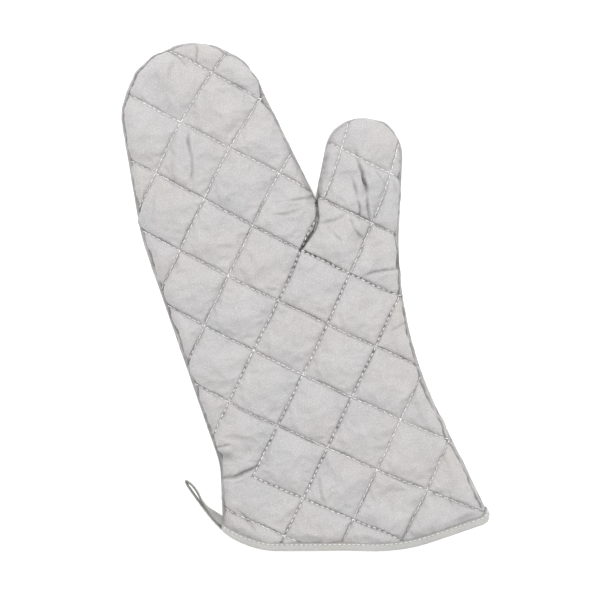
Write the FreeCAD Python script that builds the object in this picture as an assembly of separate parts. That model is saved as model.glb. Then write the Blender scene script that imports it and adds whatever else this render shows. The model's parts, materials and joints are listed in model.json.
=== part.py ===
import FreeCAD, Part
import math
import os

# Quilted oven mitt, lying flat with its palm side up: +Z up, +X towards the thumb, +Y towards the fingertips.
# The origin is on the resting plane, under the middle of the mitt. All sizes are in millimetres.

# ---- driving dimensions: thickness and layers -------------------------------------------------
THICKNESS = 26.0            # whole mitt, lying empty
SEAM_HEIGHT = 10.0          # the side seam's height above the resting plane
FRONT_RIM = 20.0            # how far in the front (palm side, upper) panel rolls before it is flat
BACK_RIM = 12.0             # the same for the back (lower) panel
SHELL = 0.8                 # coated cloth outside
BATTING = 4.4               # insulation
LINING = 0.6                # cotton inside
GAP = 0.1                   # clearance between neighbouring layers
THREAD = 0.8                # width of a line of stitches
THREAD_DEPTH = 0.35         # how thick the thread lies
GROOVE = 1.2                # width of the groove that the outer thread lies in
GROOVE_DEPTH = 0.45
SEAM_THREAD = 0.7           # side seam thread, square section

# ---- driving dimensions: cuff binding and hanging loop ----------------------------------------
BINDING = 1.0               # thickness of the binding tape
BINDING_WIDTH = 6.0         # how far the tape reaches up the cuff
BINDING_STITCH = 4.7        # height of the topstitch above the hem
HEM_FOLD = 1.4              # the layers end this far inside the folded tape
STEP = 0.8                  # length over which the shell dips under the tape
LOOP_TAPE = 1.6             # folded tape of the hanging loop
LOOP_GAP = 6.4              # clear width inside the loop
LOOP_LENGTH = 34.6          # between the centres of the loop's two round ends
LOOP_WIDTH = 8.0            # the tape stands on edge
LOOP_HEADING = 124.5        # direction of the loop from its root, degrees from +X
LOOP_ROOT = (-66.2, -165.0)
LOOP_STITCH_INSET = 1.2     # stitches run this far inside the tape's two edges

# ---- driving dimensions: outlines, as corners (x, y, rounding radius), clockwise --------------
OUTLINE = [
    (-59.2, -240.0, 0.0),   # left side of the cuff, run on past the hem
    (-61.5, -121.0, 60.0),  # cuff meets the palm
    (-119.0, 44.0, 150.0),  # heel of the hand meets the fingers
    (-144.6, 182.2, 53.0),  # fingertips, little finger side
    (-47.9, 182.2, 50.0),   # fingertips, index finger side
    (6.6, 71.6, 2.5),       # crotch between fingers and thumb
    (18.0, 128.5, 26.0),    # thumb tip, inner side
    (70.9, 128.5, 27.0),    # thumb tip, outer side
    (63.4, -17.8, 280.0),   # wrist, thumb side
    (172.3, -240.0, 0.0),   # right side of the cuff, run on past the hem
]
HEM = [
    (-200.0, -104.6, 0.0),
    (-200.0, 260.0, 0.0),
    (220.0, 260.0, 0.0),
    (220.0, -134.4, 0.0),
    (68.0, -182.2, 90.0),   # the hem turns up towards the thumb side
    (-31.4, -182.2, 60.0),  # and towards the loop
]

# ---- driving dimensions: quilting lattice and the two fold lines ------------------------------
QUILT_NODE = (-38.4, 51.2)  # one crossing of the stitch lines
QUILT_PITCH_A = 39.5        # from one crossing to the next along the first family of lines
QUILT_PITCH_B = 40.0        # and along the second family
QUILT_HEADING_A = -27.0     # directions of the two families, degrees from +X
QUILT_HEADING_B = -115.5
QUILT_CELLS = range(-7, 9)
OUTER_TRIM = 1.0            # the outer stitch lines stop this far inside the outline
INNER_TRIM = 2.0            # the inner ones stop this far inside the lining
CROTCH = (6.9, 71.2)
FINGER_FOLD_END = (-113.1, 29.0)
THUMB_FOLD_END = (68.0, 4.7)
NOTCH_POINT = (-16.0, 262.0)  # a point above the crotch, between fingers and thumb
KERF = 0.6                  # clearance between two sections of the mitt

DEPTH_BATTING = SHELL + GAP
DEPTH_LINING = DEPTH_BATTING + BATTING + GAP
DEPTH_CAVITY = DEPTH_LINING + LINING
RIM_ANGLES = (0, 30, 60, 90)
FAR = 400.0
LOW = -20.0
TALL = 80.0
SKIN = 0.05                 # thread stands this far clear of the cloth under it
SIDES = {
    "front": (1.0, FRONT_RIM, THICKNESS - SEAM_HEIGHT),
    "back": (-1.0, BACK_RIM, SEAM_HEIGHT),
}


def vec(point, z=0.0):
    return FreeCAD.Vector(point[0], point[1], z)


def heading(degrees):
    """The level direction at an angle from +X."""
    return vec((math.cos(math.radians(degrees)), math.sin(math.radians(degrees))))


def rounded(corners, inset, z):
    """A closed wire through the corners, clockwise, each rounded, and the whole moved inwards by inset."""
    count = len(corners)
    stops = []
    for i in range(count):
        here = vec(corners[i])
        radius = corners[i][2]
        before = (here - vec(corners[i - 1])).normalize()
        after = (vec(corners[(i + 1) % count]) - here).normalize()
        in_before = FreeCAD.Vector(before.y, -before.x, 0)
        in_after = FreeCAD.Vector(after.y, -after.x, 0)
        if radius == 0:
            point = here + (in_before + in_after) * (inset / (1 + in_before.dot(in_after)))
            stops.append((point, None, point))
            continue
        reach = radius * math.tan(before.getAngle(after) / 2)
        bulge = 1.0 if before.cross(after).z < 0 else -1.0
        start = here - before * reach
        centre = start + in_before * (radius * bulge)
        outward = (here - centre).normalize()
        middle = centre + outward * (radius - inset * bulge)
        stops.append((start + in_before * inset, middle, here + after * reach + in_after * inset))
    edges = []
    for i in range(count):
        start, middle, end = stops[i]
        if middle is not None:
            edges.append(Part.Arc(start, middle, end).toShape())
        edges.append(Part.LineSegment(end, stops[(i + 1) % count][0]).toShape())
    wire = Part.Wire(edges)
    wire.translate(FreeCAD.Vector(0, 0, z))
    return wire


def prism(corners, inset, low=LOW, height=TALL):
    """Everything inside a rounded outline, between two heights."""
    return Part.Face(rounded(corners, inset, low)).extrude(FreeCAD.Vector(0, 0, height))


def polygon_prism(points):
    loop = [vec(p, LOW) for p in points]
    return Part.Face(Part.makePolygon(loop + loop[:1])).extrude(FreeCAD.Vector(0, 0, TALL))


def half(side, depth):
    """The half of the mitt's form on one side of the seam, taken down by depth from its outer surface."""
    sign, rim, rise = SIDES[side]
    wires = []
    for angle in RIM_ANGLES:
        turn = math.radians(angle)
        inset = depth + (rim - depth) * (1 - math.cos(turn))
        wires.append(rounded(OUTLINE, inset, SEAM_HEIGHT + sign * (rise - depth) * math.sin(turn)))
    return Part.makeLoft(wires, True, True)


def layer(side, outer, inner):
    return half(side, outer).cut(half(side, inner))


def below_hem_line(distance):
    """The strip of space from this distance above the hem downwards."""
    return prism(HEM, -FAR / 2).cut(prism(HEM, distance))


def diamonds(width):
    """The space between the stitch lines: one upright prism for each quilted diamond near the mitt."""
    along_a = heading(QUILT_HEADING_A) * QUILT_PITCH_A
    along_b = heading(QUILT_HEADING_B) * QUILT_PITCH_B
    lean = math.sin(along_a.getAngle(along_b))
    side_a = along_a * (width / (2 * lean * along_a.Length))
    side_b = along_b * (width / (2 * lean * along_b.Length))
    reach = max(abs(value) for corner in OUTLINE for value in corner[:2]) + along_a.Length
    cells = []
    for a in QUILT_CELLS:
        for b in QUILT_CELLS:
            near = vec(QUILT_NODE) + along_a * a + along_b * b
            if max(abs(near.x), abs(near.y)) > reach:
                continue
            far = near + along_a + along_b
            cells.append(polygon_prism([
                near + side_a + side_b,
                near + along_a - side_a + side_b,
                far - side_a - side_b,
                near + along_b + side_a - side_b,
            ]))
    return Part.makeCompound(cells)


def quilt_net(width, trim):
    """Upright walls along every stitch line, inside the outline taken in by trim."""
    return prism(OUTLINE, trim).cut(diamonds(width))


def fold_zones():
    """The three sections: fingers, thumb, and the rest, with a clearance along both fold lines."""
    apex = vec(CROTCH)
    finger_end = vec(FINGER_FOLD_END)
    thumb_end = vec(THUMB_FOLD_END)
    along_finger = (finger_end - apex).normalize()
    along_thumb = (thumb_end - apex).normalize()
    to_tips = FreeCAD.Vector(along_finger.y, -along_finger.x, 0)
    to_thumb_tip = FreeCAD.Vector(-along_thumb.y, along_thumb.x, 0)
    notch = vec(NOTCH_POINT)
    finger_far = apex + along_finger * FAR
    thumb_far = apex + along_thumb * FAR
    fingers = [apex, finger_far, finger_far + to_tips * FAR, notch + to_tips * FAR, notch]
    thumb = [apex, notch, notch + to_thumb_tip * FAR, thumb_far + to_thumb_tip * FAR, thumb_far]
    out = {"fingers": polygon_prism(fingers), "thumb": polygon_prism(thumb)}
    widened = [
        polygon_prism([p - to_tips * KERF for p in fingers]),
        polygon_prism([p - to_thumb_tip * KERF for p in thumb]),
    ]
    whole = prism(HEM, -FAR / 2)
    out["palm"] = whole.cut(widened + list(out.values()))
    return out


def stadium(inset, low, height):
    """The loop's plan: two round ends joined by straight sides, taken in by inset from its outer face."""
    radius = LOOP_GAP / 2 + LOOP_TAPE - inset
    along = heading(LOOP_HEADING)
    across = FreeCAD.Vector(-along.y, along.x, 0)
    root = vec(LOOP_ROOT, low)
    tip = root + along * LOOP_LENGTH
    edges = [
        Part.LineSegment(root + across * radius, tip + across * radius).toShape(),
        Part.Arc(tip + across * radius, tip + along * radius, tip - across * radius).toShape(),
        Part.LineSegment(tip - across * radius, root - across * radius).toShape(),
        Part.Arc(root - across * radius, root - along * radius, root + across * radius).toShape(),
    ]
    return Part.Face(Part.Wire(edges)).extrude(FreeCAD.Vector(0, 0, height))


def panel(side, nets):
    """One side of the mitt, outside to inside: shell, batting, lining and the two quilting threads."""
    body = prism(HEM, HEM_FOLD)
    under_tape = below_hem_line(BINDING_WIDTH + GAP)
    at_step = below_hem_line(BINDING_WIDTH + GAP + STEP)
    sunk = BINDING + GAP
    shell = half(side, 0).cut(half(side, SHELL)).cut(under_tape)
    shell = shell.cut(layer(side, -GROOVE_DEPTH, GROOVE_DEPTH).common(nets["groove"]))
    tucked = layer(side, sunk, sunk + SHELL).common(at_step)
    dip = layer(side, GROOVE_DEPTH, sunk + SHELL).common(at_step.cut(under_tape))
    shell = shell.fuse([tucked, dip]).common(body)
    batting = layer(side, DEPTH_BATTING, DEPTH_LINING - GAP).common(body)
    batting = batting.cut(below_hem_line(BINDING_WIDTH + 2 * GAP + STEP).cut(half(side, sunk + SHELL + GAP)))
    lining = layer(side, DEPTH_LINING, DEPTH_CAVITY).common(body)
    clear = prism(HEM, BINDING_WIDTH + 2 * GAP + STEP)
    needle = layer(side, SKIN, GROOVE_DEPTH - SKIN).common(nets["outer"]).common(clear)
    bobbin = layer(side, DEPTH_CAVITY + SKIN, DEPTH_CAVITY + THREAD_DEPTH).common(nets["inner"]).common(clear)
    return {"shell": shell, "batting": batting, "lining": lining, "needle_thread": needle,
            "bobbin_thread": bobbin}


def ring(outer, inner):
    """The mitt's form all round, between two depths."""
    outside = half("front", outer).fuse(half("back", outer))
    return outside.cut(half("front", inner).fuse(half("back", inner)))


def binding():
    """Tape folded over the raw edge of the cuff, with a groove for its topstitch."""
    band = below_hem_line(BINDING_WIDTH).common(prism(HEM, 0))
    tape = ring(0, DEPTH_CAVITY + GAP + BINDING).common(band)
    tape = tape.cut(ring(BINDING, DEPTH_CAVITY + GAP).common(prism(HEM, HEM_FOLD - GAP)))
    stitched = prism(HEM, BINDING_STITCH - GROOVE / 2).cut(prism(HEM, BINDING_STITCH + GROOVE / 2))
    return tape.cut(ring(-GROOVE_DEPTH, GROOVE_DEPTH).common(stitched))


def binding_stitch():
    """The topstitch that holds the tape: needle thread outside, bobbin thread inside the cuff."""
    line = prism(HEM, BINDING_STITCH - THREAD / 2).cut(prism(HEM, BINDING_STITCH + THREAD / 2))
    outside = ring(SKIN, GROOVE_DEPTH - SKIN).common(line)
    inside_depth = DEPTH_CAVITY + GAP + BINDING + SKIN
    inside = ring(inside_depth, inside_depth + THREAD_DEPTH).common(line)
    return Part.makeCompound([outside, inside])


def seam_thread():
    """The thread of the side seam, just inside the lining, from one side of the cuff round to the other."""
    low = SEAM_HEIGHT - SEAM_THREAD / 2
    inset = DEPTH_CAVITY + 2 * GAP
    outer = prism(OUTLINE, inset, low, SEAM_THREAD)
    thread = outer.cut(prism(OUTLINE, inset + SEAM_THREAD, low, SEAM_THREAD))
    return thread.common(prism(HEM, BINDING_WIDTH + 2 * GAP + STEP))


def hanging_loop():
    low = SEAM_HEIGHT - LOOP_WIDTH / 2
    return stadium(0, low, LOOP_WIDTH).cut(stadium(LOOP_TAPE, low, LOOP_WIDTH))


def loop_stitch():
    """Two lines of stitches round the outer face of the loop, near the tape's edges."""
    low = SEAM_HEIGHT - LOOP_WIDTH / 2 + LOOP_STITCH_INSET
    high = SEAM_HEIGHT + LOOP_WIDTH / 2 - LOOP_STITCH_INSET - THREAD
    lines = []
    for z in (low, high):
        lines.append(stadium(-THREAD_DEPTH, z, THREAD).cut(stadium(-SKIN, z, THREAD)))
    return Part.makeCompound(lines)


def solids_only(shape):
    """The solids of a shape, as one solid or a group of separate ones."""
    found = shape.Solids
    return found[0] if len(found) == 1 else Part.makeCompound(found)


def save(name, shape):
    shape = solids_only(shape)
    shape.exportStep("parts/" + name + ".step")
    box = shape.BoundBox
    print("%-28s solids %2d valid %s volume %9.1f z %.2f..%.2f" % (
        name, len(shape.Solids), shape.isValid(), shape.Volume, box.ZMin, box.ZMax))


def main():
    os.makedirs("parts", exist_ok=True)
    zones = fold_zones()
    nets = {
        "outer": quilt_net(THREAD, OUTER_TRIM + GAP),
        "groove": quilt_net(GROOVE, OUTER_TRIM),
        "inner": quilt_net(THREAD, DEPTH_CAVITY + INNER_TRIM),
    }
    for side in SIDES:
        for layer_name, shape in panel(side, nets).items():
            for zone_name, zone in zones.items():
                save(side + "_" + layer_name + "_" + zone_name, shape.common(zone))
    seam = seam_thread()
    for zone_name, zone in zones.items():
        save("side_seam_thread_" + zone_name, seam.common(zone))
    save("cuff_binding", binding())
    save("binding_topstitch", binding_stitch())
    save("hanging_loop", hanging_loop())
    save("loop_stitching", loop_stitch())


main()
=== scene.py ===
import json
import math
from types import SimpleNamespace

import bpy
import numpy as np
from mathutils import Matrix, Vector
from mathutils.bvhtree import BVHTree
from mathutils.geometry import delaunay_2d_cdt


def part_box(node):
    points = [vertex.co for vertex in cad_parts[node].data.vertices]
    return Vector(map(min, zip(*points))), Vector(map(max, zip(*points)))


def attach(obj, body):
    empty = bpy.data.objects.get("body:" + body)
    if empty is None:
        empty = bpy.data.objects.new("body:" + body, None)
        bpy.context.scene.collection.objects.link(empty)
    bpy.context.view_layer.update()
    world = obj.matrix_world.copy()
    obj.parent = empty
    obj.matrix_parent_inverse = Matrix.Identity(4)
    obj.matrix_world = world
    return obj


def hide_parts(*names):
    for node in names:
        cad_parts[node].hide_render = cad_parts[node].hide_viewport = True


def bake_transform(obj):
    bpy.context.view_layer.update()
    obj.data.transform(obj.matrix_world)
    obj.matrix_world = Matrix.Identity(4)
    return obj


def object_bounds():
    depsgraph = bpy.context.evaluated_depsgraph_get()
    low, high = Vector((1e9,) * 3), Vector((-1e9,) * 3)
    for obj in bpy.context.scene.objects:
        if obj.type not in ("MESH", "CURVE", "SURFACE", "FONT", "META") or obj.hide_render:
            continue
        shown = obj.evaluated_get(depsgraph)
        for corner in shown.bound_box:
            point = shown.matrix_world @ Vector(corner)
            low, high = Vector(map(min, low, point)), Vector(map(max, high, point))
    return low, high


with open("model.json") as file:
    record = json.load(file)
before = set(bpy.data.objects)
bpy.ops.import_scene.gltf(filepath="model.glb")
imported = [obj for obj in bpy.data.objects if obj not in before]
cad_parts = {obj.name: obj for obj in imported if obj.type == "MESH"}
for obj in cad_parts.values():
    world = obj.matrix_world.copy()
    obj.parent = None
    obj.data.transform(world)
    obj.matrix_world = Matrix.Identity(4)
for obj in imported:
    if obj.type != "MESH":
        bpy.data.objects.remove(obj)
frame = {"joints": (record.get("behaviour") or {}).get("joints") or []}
cad_low, cad_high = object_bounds()

# A quilted oven mitt lying palm side up. Lengths here are millimetres in the frame's axes, and become
# metres only where a mesh is made. Its two panels are front (palm side) and back. Each is made in two
# sections, main (cuff, palm and fingers) and thumb.
MM = 0.001
SIGN = {"front": 1.0, "back": -1.0}
SECTIONS = ("main", "thumb")
UPRIGHT = np.array([0.0, 0.0, 1.0])


def corners_of(node):
    """The lowest and highest corner of a CAD node's box."""
    return [np.array(corner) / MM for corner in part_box(node)]


def joint_named(name):
    return next(joint for joint in frame["joints"] if joint["name"] == name)


def joint_place(name):
    return np.array(joint_named(name)["pos_m"]) / MM


def across_fold(name):
    """The level direction across a fold's hinge line, away from the palm."""
    x, y, _ = joint_named(name)["axis"]
    return np.array([-y, x])


# ---- places taken from the frame ----
LEFT_X, HEM_Y, _ = np.array(cad_low) / MM
RIGHT_X, TIP_Y, _ = np.array(cad_high) / MM
SEAM_Z = sum(corner[2] for corner in corners_of("side_seam_thread_palm")) / 2
PALM_X = corners_of("front_shell_palm")[0][0]          # outer end of the finger fold
FINGER_FOLD_Y = corners_of("front_shell_fingers")[0][1]
THUMB_FOLD_Y = corners_of("front_shell_thumb")[0][1]   # outer end of the thumb fold
THUMB_X, THUMB_Y, _ = corners_of("front_shell_thumb")[1]
TAPE_X = corners_of("cuff_binding")[0][0]
CROTCH = joint_place("finger_fold")[:2]
TO_THUMB = across_fold("thumb_fold")

# ---- outline and hem, as corners (x, y, rounding radius), each from the hem's left end ----
BINDING = 1.0                   # thickness of the tape round the hem
CUFF_HEIGHT = 61.0
LOOP_SIDE_RISE = 13.0           # the hem's left end stands this far above its lowest stretch
THUMB_SIDE_RISE = 25.0          # and its right end this far
FINGERTIP_WIDTH = 94.5
THUMB_WIDTH = 53.0
FINGERTIP_CORNER_X = LEFT_X - 8.5   # before rounding
THUMB_CORNER_X = THUMB_X + 1.5
HEM_LEFT = (TAPE_X + BINDING, HEM_Y + LOOP_SIDE_RISE, 0)
HEM_RIGHT = (RIGHT_X - 2 * BINDING, HEM_Y + THUMB_SIDE_RISE, 0)
SIDE = [
    HEM_LEFT,
    (TAPE_X - 1, HEM_Y + CUFF_HEIGHT, 60),              # cuff meets the palm
    (PALM_X - 5.5, FINGER_FOLD_Y + 15, 150),            # heel of the hand meets the fingers
    (FINGERTIP_CORNER_X, TIP_Y, 53),                    # little finger side
    (FINGERTIP_CORNER_X + FINGERTIP_WIDTH, TIP_Y, 50),  # index finger side
    (*CROTCH, 0),
    (THUMB_CORNER_X - THUMB_WIDTH, THUMB_Y, 26),
    (THUMB_CORNER_X, THUMB_Y, 27),
    (THUMB_X - 6, THUMB_FOLD_Y - 21, 280),              # wrist
    HEM_RIGHT,
]
HEM = [
    HEM_LEFT,
    (TAPE_X + 22, HEM_Y, 66),
    (RIGHT_X - 66, HEM_Y, 150),
    (RIGHT_X - 3.5, HEM_Y + THUMB_SIDE_RISE - 5.5, 3),
    HEM_RIGHT,
]

# ---- quilting: a square net, pulled a little out of true by the sewing. (i, j) counts its cells ---
QUILT_NODE = CROTCH + (-45.0, -20.0)   # one crossing of the net
QUILT_PITCH = (39.5, 40.0)      # along each family of lines
QUILT_HEADING = (-27.5, -115.5)  # degrees from +X
QUILT_BOW = np.array([0.0, 0.4])   # pull on the lines past the node, times the square of i
QUILT_LEAN = 1.6                # past the crotch, fingers and thumb were sewn leaning together
QUILT_ROWS = (-2, -1, 0, 1, 2, 3, 4, 4.75)   # the last row is squeezed in at the cuff's corner
QUILT_COLUMNS = range(-2, 6)
WHOLE_RUN = (-6, 9)             # in cells, longer than the mitt
MAIN_ROW_RUNS = {0: (-6, 1), 4: (2, 9)}      # the lines that stop inside a panel
MAIN_COLUMN_RUNS = {2: (-6, 4)}
THUMB_COLUMN_RUNS = {1: (-6, -1)}
THUMB_RUN = (-6, 0)
THUMB_NODE = (1, 0)             # the crossing where the deep crease from the crotch ends
THUMB_ROOT_END = 4.5
STITCH_PITCH = 4.0
STITCH_LENGTH = 3.1
STITCH_RADIUS = 0.31

# ---- how the padded cloth stands ----
PLAN_STEP = 2.0                 # mesh spacing for the simulation; the finished surface has half of it
THICKNESS = 5.0                 # shell, batting and lining together, where nothing pinches them
RIM = {"front": (12.5, 10.4), "back": (10.0, 7.8)}   # width and height of the rolled edge
RIM_POWER = 2.2                 # roundness of that edge
RIM_RINGS = 9                   # rings of points that would fill it, of which the outer 7 are used
DOME = {"front": 2.6, "back": 0.0}
DOME_REACH = 28.0
PILLOW = {"front": 2.6, "back": 1.9}
PILLOW_EDGE = 3.8               # distance over which a pillow rises from its stitch line
HEM_PINCH = 1.3                 # the binding squeezes each panel by this much
HEM_FOLD = 1.4
BINDING_WIDTH = 6.2
CUFF_TURN = 26.0                # over this length at each end the tape turns to follow the side seam
END_STATIONS = np.array([0.0, 0.15, 0.5, 1.1, 2.0, 3.2, 4.6])   # hem points where the cuff turns round
END_LENGTH = 6.4                # even spacing starts this far along
FLOOR_GAP = 0.2
LINE_CHORD = 5.0                # stitch lines are measured to in chords of this length
LINE_REACH = 16.0               # and only this far around them
RAIL = 0.85                     # extra points this far each side of a stitch line
BATTING_PRESSURE = 3.0
CLOTH_SLACK = -0.03
CLOTH_FRAMES = 20
CLOTH_CAP = 3.0                 # no point of the cloth settles further than this

# ---- what shapes the finished surface ----
GROOVE_DEPTH = 0.95
GROOVE_WIDTH = 0.62
GROOVE_OFFSET = 0.35            # the groove wanders this far to either side of its thread
TRENCH_DEPTH = 6.5
TRENCH_WIDTH = 0.7
ROLL_INSET = 2.0                # a line runs along the rolled side seam, this far in
ROLL_DEPTH = 0.95
ROLL_WIDTH = 0.75
THUMB_SLACK = 0.55              # the thumb's quilting is pulled less tight, by this share
EDGE_PINCH = 1.1                # each stitch line draws the outline in where it ends
WRINKLES = ((0.3, 18, 24), (0.17, 8, 21), (0.12, 3.1, 22), (0.07, 1.7, 23))   # height, size, seed
CREASE_WIDTH = 0.85
# Creases: the middle (i, j) in cells, then length, heading in degrees, bend, depth and relative width
FRONT_CREASES = [
    (-1.5, -0.5, 42, 95, 0.5, 2.2, 1.1),      # fingers
    (-1.75, -0.25, 36, 95, 0.5, 0.6, 1.6),
    (-1.75, 0.5, 26, 85, 0.5, 0.6, 1.4),
    (-2.5, -2.0, 18, -40, 1.5, 2.2, 1.1),     # fingertips
    (-2.25, -2.25, 14, 90, 0.5, 1.4, 0.9),
    (-2.5, -1.75, 20, 80, 0.5, 0.8, 1.3),
    (1.5, -1.5, 52, 102, -1.5, 3.6, 1.0),     # thumb, a double crease
    (1.5, -1.25, 30, 100, -1.0, 2.0, 0.9),
    (1.75, -1.75, 13, -55, 0.5, 1.5, 1.0),
    (2.0, -1.75, 10, -70, 0.5, 1.2, 1.0),
    (0.5, -0.75, 35, 10, -1.0, 2.2, 1.1),     # pulled towards the crotch
    (0.5, -0.5, 24, 15, -1.0, 1.2, 1.1),
    (1.25, -0.75, 22, 15, -2.5, 1.8, 1.2),    # beside the thumb's root
    (1.75, -0.75, 18, -60, -1.5, 2.0, 1.1),
    (1.5, -0.5, 10, -45, 0.5, 1.0, 1.0),
    (2.5, -0.25, 30, 15, 1.0, 1.8, 1.2),
    (3.25, 0.5, 18, 25, 0.5, 1.2, 1.2),       # wrist
    (1.75, 4.0, 36, 20, -2.5, 4.2, 1.5),      # where the cuff folds under the palm
    (1.5, 3.75, 28, 15, -2.0, 1.8, 4.0),
    (2.0, 3.75, 14, -15, 1.0, 1.6, 1.0),
    (1.75, 4.25, 16, 15, 0.5, 1.4, 1.0),
    (1.25, 3.75, 12, 5, 0.5, 1.5, 1.1),
    (2.25, 4.75, 21, -50, 0.5, 1.6, 1.2),     # cuff
    (3.25, 3.75, 20, -80, -1.0, 1.2, 1.4),
    (4.5, 3.25, 18, 5, 2.0, 1.0, 1.3),
    (5.25, 3.0, 18, 5, 1.5, 1.0, 1.3),
    (5.5, 3.0, 14, -70, 0.5, 1.2, 1.1),
]
BACK_CREASES = [
    (-1.5, -0.75, 30, 70, 1.5, 1.1, 1.2),
    (0.25, -0.5, 26, 10, -1.5, 1.0, 1.3),
    (1.75, -0.5, 24, -50, 2.0, 1.1, 1.2),
    (2.0, 3.25, 34, 25, 2.0, 1.2, 1.4),
    (4.0, 2.25, 30, -20, -2.0, 1.0, 1.3),
    (2.0, 1.0, 26, 60, 1.5, 0.8, 1.3),
]
CREASES = {"front": FRONT_CREASES, "back": BACK_CREASES}

# ---- binding, linings and thread ----
CUFF_THICKNESS = THICKNESS - 2 * HEM_PINCH + 1.2
TAPE_CLEAR = 0.62 * BINDING     # from the cloth to the middle of the tape
INNER_LEG = 7.2                 # height of the tape inside the cuff
TOPSTITCH_INSET = 1.3           # from the tape's upper edge
TOPSTITCH_DENT = 0.28           # the topstitch draws the tape in
TOPSTITCH_PITCH = 3.4
TOPSTITCH_RADIUS = 0.21
LINING_STEP = 3.6
LINING = 0.5
LINING_INSET = THICKNESS + 0.6
SEAM_STITCH_RADIUS = 0.35
SIDES_OF_THREAD = 6
THREAD_RINGS = np.array([-1.0, -0.88, -0.5, 0.0, 0.5, 0.88, 1.0])    # along a stitch
THREAD_TAPER = np.array([0.35, 0.8, 1.0, 1.05, 1.0, 0.8, 0.35])      # its thickness there
THREAD_LIFT = np.array([-0.35, 0.1, 0.42, 0.5, 0.42, 0.1, -0.35])    # and its height over the cloth

# ---- the hanging loop: a folded tape, sewn in at the cuff's corner ----
LOOP_TAPE = 1.15
LOOP_ROOT = joint_place("loop_swing")
LOOP_LOW, LOOP_HIGH = corners_of("hanging_loop")
LOOP_TO_TIP = np.array([LOOP_LOW[0] + 2.5, LOOP_HIGH[1] - 2.5]) - LOOP_ROOT[:2]
LOOP_ALONG = LOOP_TO_TIP / np.linalg.norm(LOOP_TO_TIP)
LOOP_ACROSS = np.array([LOOP_ALONG[1], -LOOP_ALONG[0]])   # towards the mitt
# From the root: (along the loop, across it, width of the tape, its face's lean from upright in degrees)
LOOP_ROUTE = [
    (-10.0, 5.0, 6.0, 0),       # outer strand
    (-4.0, 3.0, 6.5, 0),
    (8.0, 1.5, 7.0, 0),
    (30.0, 1.0, 7.5, 0),
    (37.5, 1.5, 7.5, 0),        # tip
    (37.5, 2.5, 7.5, 0),
    (32.0, 4.0, 7.5, 0),        # inner strand
    (26.0, 4.0, 7.5, 0),
    (20.0, 3.0, 7.5, 0),
    (13.0, 3.0, 7.5, -10),
    (7.0, 4.0, 7.5, -35),
    (1.0, 5.5, 7.5, -55),
    (-6.0, 9.0, 7.0, -65),
]
LOOP_SAMPLES = 90
LOOP_THREAD_RADIUS = 0.26
# The tape's cross-section, in shares of its width and thickness
LOOP_SECTION = [(-0.5, -0.3), (-0.46, -0.5), (0, -0.5), (0.46, -0.5), (0.5, -0.3),
                (0.5, 0.3), (0.46, 0.5), (0.3, 0.5), (0, 0.5), (-0.46, 0.5), (-0.5, 0.3)]

# ---- tones, as light, dark, warm and cool patches of each cloth ----
COATED_TONES = ((0.370, 0.356, 0.359), (0.330, 0.317, 0.320), (0.351, 0.340, 0.319), (0.322, 0.326, 0.330))
TAPE_TONES = ((0.365, 0.358, 0.342), (0.318, 0.312, 0.300), (0.342, 0.333, 0.302), (0.318, 0.324, 0.314))
LINING_TONES = ((0.72, 0.71, 0.68), (0.64, 0.63, 0.6), (0.68, 0.66, 0.6), (0.62, 0.62, 0.6))

# ---- stage, lights and camera, placed in metres ----
FLOOR_HALF = 15.0
KEY_LIGHT = ((-0.35, 1.3, 1.85), 2.0, 45)     # place, size and power
FILL_LIGHT = ((1.3, -0.6, 1.6), 1.6, 12)
CAMERA_PLACE = (-0.0043, -0.0025, 1.212)
CAMERA_LENS = 100


# ---- plan geometry ----
def unit(rows):
    return rows / np.linalg.norm(rows, axis=1)[:, None]


def tangents(line):
    return unit(np.gradient(line, axis=0))


def left_of(ways):
    """Plan directions turned a quarter to the left."""
    return np.column_stack([-ways[:, 1], ways[:, 0]])


def arc_lengths(line):
    return np.concatenate([[0.0], np.cumsum(np.linalg.norm(np.diff(line, axis=0), axis=1))])


def resample(line, stations):
    """The points of a polyline at the given distances along it."""
    s = arc_lengths(line)
    return np.column_stack([np.interp(stations, s, line[:, k]) for k in range(line.shape[1])])


def evenly(line, step):
    length = arc_lengths(line)[-1]
    return resample(line, np.linspace(0, length, max(2, int(round(length / step)) + 1)))


def rounded_path(corners, step):
    """An open path through the corners, each rounded with its own radius, in points about a step apart."""
    points = [np.array(corners[0][:2], float)]
    for before, here, after in zip(corners, corners[1:], corners[2:]):
        at, radius = np.array(here[:2], float), here[2]
        into, out = unit(np.array([at - before[:2], np.array(after[:2]) - at]))
        turn = math.atan2(into[0] * out[1] - into[1] * out[0], into @ out)
        start = at - into * radius * math.tan(abs(turn) / 2)
        centre = start + math.copysign(radius, turn) * np.array([-into[1], into[0]])
        x, y = start - centre
        for a in np.linspace(0, turn, max(1, int(abs(turn) * radius)) + 1):
            points.append(centre + (math.cos(a) * x - math.sin(a) * y, math.sin(a) * x + math.cos(a) * y))
    points.append(np.array(corners[-1][:2], float))
    points = np.array(points)
    fresh = np.concatenate([[True], np.linalg.norm(np.diff(points, axis=0), axis=1) > 1e-6])
    return evenly(points[fresh], step)


def nearest(points, line):
    """For each point: its distance to a polyline, and how far along the line that is."""
    best = np.full(len(points), 1e18)
    along = np.zeros(len(points))
    s = arc_lengths(line)
    for i in range(len(line) - 1):
        d = line[i + 1] - line[i]
        length = max(np.hypot(*d), 1e-9)
        rel = points - line[i]
        t = np.clip((rel @ d) / length ** 2, 0, 1)
        dist = ((rel - t[:, None] * d) ** 2).sum(1)
        closer = dist < best
        best[closer] = dist[closer]
        along[closer] = s[i] + t[closer] * length
    return np.sqrt(best), along


def from_side(points):
    return nearest(points, side_edge)[0]


def closest(points, place):
    """Which of the points is closest to a place."""
    return np.argmin(np.linalg.norm(points - place, axis=1))


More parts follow.
